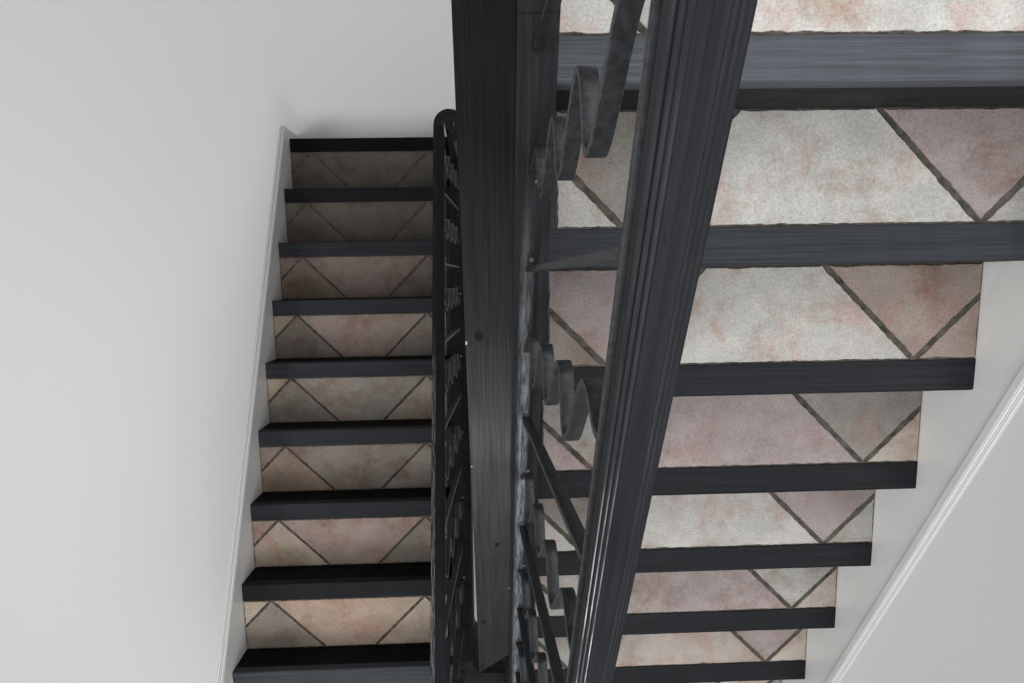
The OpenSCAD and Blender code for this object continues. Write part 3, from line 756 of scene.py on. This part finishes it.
for name, on_flight, inner, towards_wall, last in (
    ("lower_wall_moulding", on_lower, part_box("lower_wall_string")[1].x, -1, LOWER_MOULDING_END),
    ("upper_wall_moulding", on_upper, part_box("upper_wall_string")[0].x, 1, UPPER_MOULDING_END),
):
    shape = bmesh.new()
    rings = []
    for k in range(MOULDING_STEPS + 1):
        s = (last + MOULDING_BELOW) * k / MOULDING_STEPS - MOULDING_BELOW
        section = [(WALL_BOARD_UP + rise, inner + towards_wall * across) for across, rise in MOULDING]
        rings.append([on_flight(s, h, x) for h, x in section])
    skin(shape, rings, DUST_AND_SHADE_LINES)
    add_piece(name, shape, moulding_gloss, "white_board", sharp=MOULDING_SHARP)

# Iron balustrade: uprights, waved bars and the flat under the rail.
# Flat bar, bent cold over a former, welded to the flat under the rail and screwed down on the
# strings, then brushed with black paint that has thinned on the corners.
IRON_BLACK = (28, 30, 32)
IRON_PALE = (42, 44, 47)
IRON_WORN = (84, 88, 92)
IRON_WIDE = 0.016
BAR_THICK = 0.008
FLAT_THICK = 0.008
WAVE_THICK = 0.007
WAVE_STEPS = 16
HAND_BENT = 0.005
WAVE_FOOT = 0.09
WAVE_HEAD = 0.838
WAVE_TURNS = 8
WAVE_RIGHT = 0.03
WAVE_LEFT = -0.04
TOP_SHIFT = -0.015
CLIP_GAP = 0.0003
RAIL_UP = 0.900
RAIL_HIGH = 0.044
RAIL_UNDER = RAIL_UP - RAIL_HIGH / math.cos(PITCH)
UPRIGHT_TOP = RAIL_UNDER - FLAT_THICK
CORNER = 0.0012
IRON_GLOSS = 0.3
LOWER_FIRST, LOWER_PITCH = 0.130, 0.247
UPPER_FIRST, UPPER_PITCH = 0.148, 0.270
GUARD_BAYS = 3
FLAT_FROM = 0.147
LOWER_FOOT_X, LOWER_HEAD_X = 0.4185, 0.383
UPPER_FOOT_X, UPPER_HEAD_X = 0.5855, 0.600
POST_HALF = 0.015

iron_paint, tree, shader = new_finish("black_iron_paint", 0.42)
brush = grain(tree, (0.006, 0.006, 0.014), detail=7, roughness=0.66)
rubbed = shades(tree, brush, (0.42, 0.0), (0.62, 0.6))
thin = product(tree, from_mesh(tree, "wear").outputs["Fac"], rubbed)
base = shades(tree, brush, (0.35, IRON_BLACK), (0.7, IRON_PALE))
tree.links.new(laid_over(tree, base, IRON_WORN, thin), shader.inputs["Base Color"])
shader.inputs["Specular IOR Level"].default_value = IRON_GLOSS
relief(tree, shader, brush, 0.0006, 0.6)


def bar_section(wide, thick):
    """Rounded section of a flat bar as pairs across its width and its thickness, with its wear."""
    section, worn = [], []
    for side_w, side_t, first in ((1, -1, -90), (1, 1, 0), (-1, 1, 90), (-1, -1, 180)):
        for degrees in (first, first + 45, first + 90):
            angle = math.radians(degrees)
            section.append(
                (
                    side_w * (wide / 2 - CORNER) + CORNER * math.cos(angle),
                    side_t * (thick / 2 - CORNER) + CORNER * math.sin(angle),
                )
            )
            worn.append(1.0 if degrees == first + 45 else 0.2)
    return section, worn


def leaning(foot_x, head_x):
    """Where the ironwork stands across the stair at a height: it leans from string to rail."""
    return lambda h: foot_x + (head_x - foot_x) * (h - STRING_UP) / (RAIL_UNDER - STRING_UP)


def add_upright(shape, on_line, x_at, s):
    """A straight bar from the string up to the flat under the rail."""
    section, worn = bar_section(IRON_WIDE, BAR_THICK)
    rings = []
    for h in (STRING_UP, (STRING_UP + UPRIGHT_TOP) / 2, UPRIGHT_TOP):
        rings.append([on_line(s + t, h, x_at(h) + w) for w, t in section])
    skin(shape, rings, worn)


def add_flat(shape, on_line, x_at, s0, s1):
    """The flat bar that runs under the rail and carries it."""
    section, worn = bar_section(IRON_WIDE, FLAT_THICK)
    middle = RAIL_UNDER - FLAT_THICK / 2
    rings = [[on_line(s, middle + t, x_at(middle) + w) for w, t in section] for s in (s0, s1)]
    skin(shape, rings, worn)


def even_wave(shift):
    """Turning points of a wave that swings right and left at even heights from foot to head."""
    points = [(0.0, WAVE_FOOT)]
    for k in range(1, WAVE_TURNS):
        swing = WAVE_RIGHT if k % 2 else WAVE_LEFT
        points.append((swing + shift, WAVE_FOOT + (WAVE_HEAD - WAVE_FOOT) * k / WAVE_TURNS))
    points.append((0.0, WAVE_HEAD))
    return points


def bent_by_hand(form):
    """The turning points of one waved bar, each a little off its place but for the two ends."""
    turns = [form[0]]
    for swing, up in form[1:-1]:
        turns.append((swing + dice.uniform(-HAND_BENT, HAND_BENT), up + dice.uniform(-HAND_BENT, HAND_BENT)))
    return turns + [form[-1]]


def add_wave(shape, on_line, x_at, middle, rake, turns):
    """A waved bar: it swings to and fro as it climbs from the string to the flat."""
    section, worn = bar_section(IRON_WIDE, WAVE_THICK)
    top = UPRIGHT_TOP - CLIP_GAP
    line = []
    for (swing_a, up_a), (swing_b, up_b) in zip(turns, turns[1:]):
        for k in range(WAVE_STEPS):
            part = k / WAVE_STEPS
            eased = (1 - math.cos(math.pi * part)) / 2
            line.append(Vector((swing_a + (swing_b - swing_a) * eased, up_a + (up_b - up_a) * part)))
    line.append(Vector((turns[-1][0], top)))
    rings = []
    for k, p in enumerate(line):
        run = line[min(k + 1, len(line) - 1)] - line[max(k - 1, 0)]
        plumb_run = Vector((run.x, run.y + run.x * rake)).normalized()
        normal = Vector((-plumb_run.y, plumb_run.x))
        ring = []
        for w, t in section:
            s = p.x + normal.x * t
            h = min(max(p.y + normal.y * t - normal.x * t * rake, STRING_UP), top)
            if k in (0, len(line) - 1):
                h = p.y
            ring.append(on_line(middle + s, h, x_at(h) + w))
        rings.append(ring)
    skin(shape, rings, worn)


lower_lean = leaning(LOWER_FOOT_X, LOWER_HEAD_X)
upper_lean = leaning(UPPER_FOOT_X, UPPER_HEAD_X)
guard_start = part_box("landing_handrail")[0].y
guard_line_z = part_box("landing_handrail")[1].z - RAIL_UP
guard_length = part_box("landing_handrail")[1].y - guard_start


def on_guard(s, h, x):
    """A point over the level guard of the top landing."""
    return Vector((x, guard_start + s, guard_line_z + h))


lower_bars = [LOWER_FIRST + LOWER_PITCH * k for k in range(1, 8)]
upper_bars = [UPPER_FIRST + UPPER_PITCH * k for k in range(7)]
guard_pitch = (guard_length - BAR_THICK) / GUARD_BAYS
guard_bars = [BAR_THICK / 2 + guard_pitch * k for k in range(GUARD_BAYS + 1)]
lower_waves = [LOWER_FIRST + LOWER_PITCH * (k + 0.5) for k in range(8)]
upper_waves = [UPPER_FIRST + UPPER_PITCH * (k - 0.5) for k in range(7)]
guard_waves = [BAR_THICK / 2 + guard_pitch * (k + 0.5) for k in range(GUARD_BAYS)]
rails_meet = lower_front - (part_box("half_landing_posts")[0].y + POST_HALF)
upper_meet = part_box("half_landing_posts")[0].y + POST_HALF - upper_front
rake_end = guard_start - upper_front
for name, on_line, x_at, bars, waves, s0, s1, rake in (
    ("lower", on_lower, lower_lean, lower_bars, lower_waves, FLAT_FROM, rails_meet - POST_HALF, SLOPE),
    ("upper", on_upper, upper_lean, upper_bars, upper_waves, upper_meet + POST_HALF, rake_end, SLOPE),
    ("landing", on_guard, upper_lean, guard_bars, guard_waves, 0.0, guard_length, 0.0),
):
    shape = bmesh.new()
    for s in bars:
        add_upright(shape, on_line, x_at, s)
    add_flat(shape, on_line, x_at, s0, s1)
    add_piece(name + "_uprights", shape, iron_paint, "wrought_iron", name + "_iron_frame")
    shape = bmesh.new()
    for k, s in enumerate(waves):
        shift = TOP_SHIFT if name == "upper" and k == len(waves) - 1 else 0.0
        add_wave(shape, on_line, x_at, s, rake, bent_by_hand(even_wave(shift)))
    add_piece(name + "_waves", shape, iron_paint, "wrought_iron", name + "_waved_bars")
dress("half_landing_posts", iron_paint, 0.002)

# Screws that hold the ironwork down.
# Steel round heads, one behind each upright and two at each waved bar, painted over with the
# iron and scuffed bare here and there by feet.
SCREW_HEAD = ((0.0042, 0.0), (0.0040, 0.0009), (0.0031, 0.0018), (0.0017, 0.0023), (0.0006, 0.0024))
SCREW_SIDES = 14
SLOT_DEEP = 0.0008
SCREW_AHEAD = 0.014
SCREW_ASIDE = 0.006
SCREW_PAINTED = (40, 41, 43)
SCREW_BARE = (136, 140, 142)


def add_screw(shape, on_line, s, x):
    """A round-head screw driven square into a string's top, with a slot filed across it."""
    centre = on_line(s, STRING_UP, x)
    along = (on_line(s + 1, STRING_UP, x) - centre).normalized()
    across = Vector((1, 0, 0))
    up = along.cross(across)
    up = up if up.z > 0 else -up
    rings = []
    for radius, height in SCREW_HEAD:
        ring = []
        for k in range(SCREW_SIDES):
            angle = 2 * math.pi * k / SCREW_SIDES
            slot_cut = SLOT_DEEP if abs(math.sin(angle)) < 0.3 and height > 0.001 else 0.0
            side = across * math.cos(angle) + along * math.sin(angle)
            ring.append(centre + side * radius + up * (height - slot_cut))
        rings.append(ring)
    skin(shape, rings)


screw_steel, tree, shader = new_finish("scuffed_steel", 0.5)
scuff = grain(tree, (0.03, 0.03, 0.03), detail=6, roughness=0.7)
tree.links.new(shades(tree, scuff, (0.5, SCREW_PAINTED), (0.64, SCREW_BARE)), shader.inputs["Base Color"])
for name, on_line, x_at, bars, waves in (
    ("lower", on_lower, lower_lean, lower_bars, lower_waves),
    ("upper", on_upper, upper_lean, upper_bars, upper_waves),
):
    shape = bmesh.new()
    foot_x = x_at(STRING_UP)
    for s in bars:
        add_screw(shape, on_line, s + SCREW_AHEAD, foot_x)
    for s in waves:
        add_screw(shape, on_line, s + SCREW_AHEAD, foot_x + SCREW_ASIDE)
        add_screw(shape, on_line, s - SCREW_AHEAD, foot_x + SCREW_ASIDE)
    add_piece(name + "_screws", shape, screw_steel, "wrought_iron")

# Handrails, their turn and their volute.
# Hardwood run through a moulding machine, with three reeds at each side of a flat top and a coved foot. The
# turn and volute are carved and bolted on. Hands have thinned the black paint on the reed crests, whose
# paler colour also serves as painted highlight, and a bright painted reflection lies on the well-side crests
# of the rails' low parts.
RAIL_BLACK = (34, 34, 37)
RAIL_PALE = (47, 48, 52)
REED_WEAR_AND_HIGHLIGHT = (62, 64, 68)
REED_PAINTED_HIGHLIGHT = (205, 207, 208)
DING_DARK = (18, 18, 19)
HIGHLIGHT_FROM, HIGHLIGHT_TO = 1.36, 1.20
PAINT_FILLS = 0.13
RAIL_WIDE = 0.039
REED_WIDE = 0.0039
REED_FALL = 0.0006
REED_ARRIS = 0.0004
COVE_DEEP = RAIL_HIGH * 0.2
RAIL_SHARP = 32
RAIL_STEPS = 24
RAIL_TURN_STEPS = 40
VOLUTE_AT = 0.130
VOLUTE_STEPS = 54

rail_paint = timber_paint("handrail_paint", RAIL_BLACK, RAIL_PALE, PITCH, 0.42, 0.3)
tree, shader, base = paint_of(rail_paint)
# Reed crests are paler, for wear and as painted highlight.
crests = from_mesh(tree, "wear").outputs["Fac"]
crest_streaks = grain(tree, (0.02, 0.15, 0.1), PITCH, detail=6, roughness=0.65, seed=4.4)
crest_wear_and_highlight = product(tree, crests, shades(tree, crest_streaks, (0.4, 0.05), (0.6, 0.75)))
base = laid_over(tree, base, REED_WEAR_AND_HIGHLIGHT, crest_wear_and_highlight)
# A bright painted reflection is laid along the well-side reed crests of the rails' low parts.
highlight_reach = ramp_along(tree, "Y", upper_front + HIGHLIGHT_FROM, upper_front + HIGHLIGHT_TO)
highlight_streaks = grain(tree, (0.004, 0.09, 0.06), PITCH, detail=6, roughness=0.7, seed=2.2)
on_well_side = shades(tree, crests, (0.72, 0.0), (0.95, 1.0))
painted_highlight = laid_over(tree, on_well_side, shades(tree, highlight_streaks, (0.44, 0.1), (0.6, 0.9)), 1.0, "MULTIPLY")
painted_highlight = laid_over(tree, painted_highlight, highlight_reach, 1.0, "MULTIPLY")
base = laid_over(tree, base, REED_PAINTED_HIGHLIGHT, painted_highlight)
dings = grain(tree, (0.012, 0.03, 0.012), PITCH, detail=6, roughness=0.7, seed=6.1)
base = laid_over(tree, base, DING_DARK, shades(tree, dings, (0.26, 0.9), (0.31, 0.0)))
tree.links.new(base, shader.inputs["Base Color"])
relief(tree, shader, dings, 0.0012, 0.4)


def rail_section():
    """Section of the rail as pairs across it and down from its top, with each point's weight of crest wear
    and painted highlight.
    """
    half = RAIL_WIDE / 2
    flat_half = half - 3 * REED_WIDE
    reed = REED_WIDE / 2
    foot = half * 0.62
    waist = -RAIL_HIGH * 0.55
    quirk = RAIL_HIGH * 0.05
    far_side = 0.6
    right = [(flat_half * 0.5, 0.0, 0.0)]
    right += [(flat_half - REED_ARRIS, 0.0, 0.15), (flat_half, -REED_ARRIS, 0.3)]
    for k in range(3):
        last = 30 if k < 2 else -50
        for degrees in range(150, last - 1, -20):
            angle = math.radians(degrees)
            across = flat_half + reed * (2 * k + 1 + math.cos(angle))
            down = PAINT_FILLS * reed * (math.sin(angle) - 1) - REED_FALL * (k + 1) ** 1.5
            crest = 1.0 if degrees in (110, 90) else (0.3 if degrees in (130, 70) else 0.0)
            right.append((across, down, crest))
    right.append((half - quirk, waist, 0.0))
    for degrees in (0, 30, 60, 90):
        angle = math.radians(degrees)
        cove = foot + (half - quirk - foot) * math.cos(angle)
        right.append((cove, waist - COVE_DEEP * math.sin(angle), 0.0))
    right.append((foot, -RAIL_HIGH, 0.0))
    left = [(-across, down, crest) for across, down, crest in reversed(right)]
    return [(across, down, crest * far_side) for across, down, crest in right] + left


rail_points = rail_section()
reed_crest_weights = [crest for across, down, crest in rail_points]
lower_rail_x = (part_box("lower_handrail")[0].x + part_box("lower_handrail")[1].x) / 2
upper_rail_x = (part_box("upper_handrail")[0].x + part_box("upper_handrail")[1].x) / 2


def plumb_ring(on_line, s, x, stretch):
    """The rail's section on an upright plane at s, stretched to stay true square to the rake."""
    return [on_line(s, RAIL_UP + down * stretch, x + across) for across, down, crest in rail_points]


def round_ring(centre, outward):
    """The rail's level section beside a centre, where outward has the length of the bend's radius."""
    unit = outward.normalized()
    return [centre + outward + unit * across + Vector((0, 0, down)) for across, down, crest in rail_points]


for name, on_line, s0, s1, x, stretch in (
    ("lower_handrail", on_lower, VOLUTE_AT, rails_meet, lower_rail_x, 1 / math.cos(PITCH)),
    ("upper_handrail", on_upper, upper_meet, rake_end, upper_rail_x, 1 / math.cos(PITCH)),
    ("landing_handrail", on_guard, 0.0, guard_length, upper_rail_x, 1.0),
):
    shape = bmesh.new()
    rings = []
    for k in range(RAIL_STEPS + 1):
        rings.append(plumb_ring(on_line, s0 + (s1 - s0) * k / RAIL_STEPS, x, stretch))
    skin(shape, rings, reed_crest_weights)
    add_piece(name + "_moulded", shape, rail_paint, "rail_wood", name, sharp=RAIL_SHARP)

turn_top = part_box("handrail_turn")[1].z
turn_middle = Vector(((lower_rail_x + upper_rail_x) / 2, lower_front - rails_meet, turn_top))
turn_radius = (upper_rail_x - lower_rail_x) / 2
shape = bmesh.new()
rings = []
for k in range(RAIL_TURN_STEPS + 1):
    angle = math.pi + math.pi * k / RAIL_TURN_STEPS
    rings.append(round_ring(turn_middle, Vector((math.cos(angle), math.sin(angle), 0)) * turn_radius))
skin(shape, rings, reed_crest_weights)
add_piece("handrail_turn_carved", shape, rail_paint, "rail_wood", "handrail_turn", sharp=RAIL_SHARP)

post_low, post_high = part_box("volute_post")
post_radius = (post_high.x - post_low.x) / 2
post_x = (post_low.x + post_high.x) / 2
volute_centre = Vector((post_x, lower_front - VOLUTE_AT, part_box("handrail_volute")[1].z))
volute_radius = post_x - lower_rail_x
shape = bmesh.new()
rings = []
for k in range(VOLUTE_STEPS + 1):
    angle = math.pi - 1.5 * math.pi * k / VOLUTE_STEPS
    rings.append(round_ring(volute_centre, Vector((math.cos(angle), math.sin(angle), 0)) * volute_radius))
skin(shape, rings, reed_crest_weights)
add_piece("handrail_volute_carved", shape, rail_paint, "rail_wood", "handrail_volute", sharp=RAIL_SHARP)

# Post under the volute.
# A turned hardwood post, painted with the rail, with a shallow groove near its foot and its head.
# It stands at the foot of the lower flight and carries the volute.
POST_SIDES = 40
# Height from either end, and the change of radius there
POST_LINE = ((0.0, 0.0), (0.02, 0.0), (0.023, -0.0015), (0.03, -0.0015), (0.033, 0.0), (0.5, -0.001))
shape = bmesh.new()
profile = [(post_low.z + up, post_radius + change) for up, change in POST_LINE]
profile += [(post_high.z - up, post_radius + change) for up, change in reversed(POST_LINE[:-1])]
rings = []
for z, radius in profile:
    ring = []
    for k in range(POST_SIDES):
        angle = 2 * math.pi * k / POST_SIDES
        ring.append((post_x + radius * math.cos(angle), volute_centre.y + radius * math.sin(angle), z))
    rings.append(ring)
skin(shape, rings)
add_piece("volute_post_turned", shape, rail_paint, "black_timber", "volute_post")

# Floor, light and camera.
# A pale floor, soft lamps over both landings and at both sides, a wide overhead light, an even
# sky and a pale backdrop that only the camera sees. The camera looks down the upper flight.
FLOOR_PALE = (214, 215, 214)
FLOOR_REACH = 14.0
ground = bpy.data.meshes.new("pale_floor")
corners = [(-FLOOR_REACH, -FLOOR_REACH, 0), (FLOOR_REACH, -FLOOR_REACH, 0)]
corners += [(FLOOR_REACH, FLOOR_REACH, 0), (-FLOOR_REACH, FLOOR_REACH, 0)]
ground.from_pydata(corners, [], [(0, 1, 2, 3)])
pale_floor = bpy.data.objects.new("pale_floor", ground)
bpy.context.scene.collection.objects.link(pale_floor)
floor_finish, tree, shader = new_finish("pale_floor_finish", 0.8)
shader.inputs["Base Color"].default_value = colour(*FLOOR_PALE)
ground.materials.append(floor_finish)

SKY_COLOUR = (0.94, 0.97, 1.0, 1.0)
SKY_STRENGTH = 0.20
BACKDROP_PALE = (208, 209, 208)
sky = bpy.data.worlds.new("even_sky")
bpy.context.scene.world = sky
sky.use_nodes = True
sky.node_tree.nodes["Background"].inputs["Color"].default_value = SKY_COLOUR
sky.node_tree.nodes["Background"].inputs["Strength"].default_value = SKY_STRENGTH
tree = sky.node_tree
backdrop = tree.nodes.new("ShaderNodeBackground")
backdrop.inputs["Color"].default_value = colour(*BACKDROP_PALE)
seen = tree.nodes.new("ShaderNodeLightPath")
either = tree.nodes.new("ShaderNodeMixShader")
tree.links.new(seen.outputs["Is Camera Ray"], either.inputs[0])
tree.links.new(tree.nodes["Background"].outputs[0], either.inputs[1])
tree.links.new(backdrop.outputs[0], either.inputs[2])
tree.links.new(either.outputs[0], tree.nodes["World Output"].inputs["Surface"])


def soft_lamp(name, place, aim, size, watts):
    """A square lamp that the camera doesn't see, turned to what it lights."""
    light = bpy.data.lights.new(name, "AREA")
    light.size = size
    light.energy = watts
    lamp = bpy.data.objects.new(name, light)
    lamp.location = place
    lamp.rotation_euler = (Vector(aim) - Vector(place)).to_track_quat("-Z", "Y").to_euler()
    lamp.visible_camera = False
    bpy.context.scene.collection.objects.link(lamp)


soft_lamp("lamp_over_half_landing", (0.3, -3.6, 5.2), (0.5, -1.0, 1.8), 1.8, 85)
soft_lamp("lamp_over_top_landing", (1.3, 0.9, 5.4), (1.0, -0.3, 2.9), 1.4, 34)
soft_lamp("lamp_from_the_left", (-4.2, -1.4, 6.0), (1.5, -1.1, 2.2), 2.6, 145)
soft_lamp("lamp_from_the_right", (2.3, -1.2, 5.9), (-0.4, -1.0, 1.0), 1.8, 16)

OVERHEAD_STRENGTH = 0.85
OVERHEAD_SPREAD = 40
OVERHEAD_TIPPED = (8, 24, 0)
high_light = bpy.data.lights.new("wide_overhead_light", "SUN")
high_light.energy = OVERHEAD_STRENGTH
high_light.angle = math.radians(OVERHEAD_SPREAD)
overhead = bpy.data.objects.new("wide_overhead_light", high_light)
overhead.rotation_euler = Euler([math.radians(angle) for angle in OVERHEAD_TIPPED])
bpy.context.scene.collection.objects.link(overhead)

CAMERA_AT = (0.50478, -0.57789, 4.13315)
CAMERA_TURNED = (-10.1732, -2.3507, -0.9829)
CAMERA_LENS = 27.624
CAMERA_SHIFT = 0.0772
eye = bpy.data.cameras.new("camera")
camera = bpy.data.objects.new("camera", eye)
camera.location = CAMERA_AT
camera.rotation_euler = Euler([math.radians(angle) for angle in CAMERA_TURNED])
eye.lens = CAMERA_LENS
eye.shift_y = CAMERA_SHIFT
eye.clip_start = 0.02
bpy.context.scene.collection.objects.link(camera)
bpy.context.scene.camera = camera
bpy.context.scene.view_settings.view_transform = "Standard"
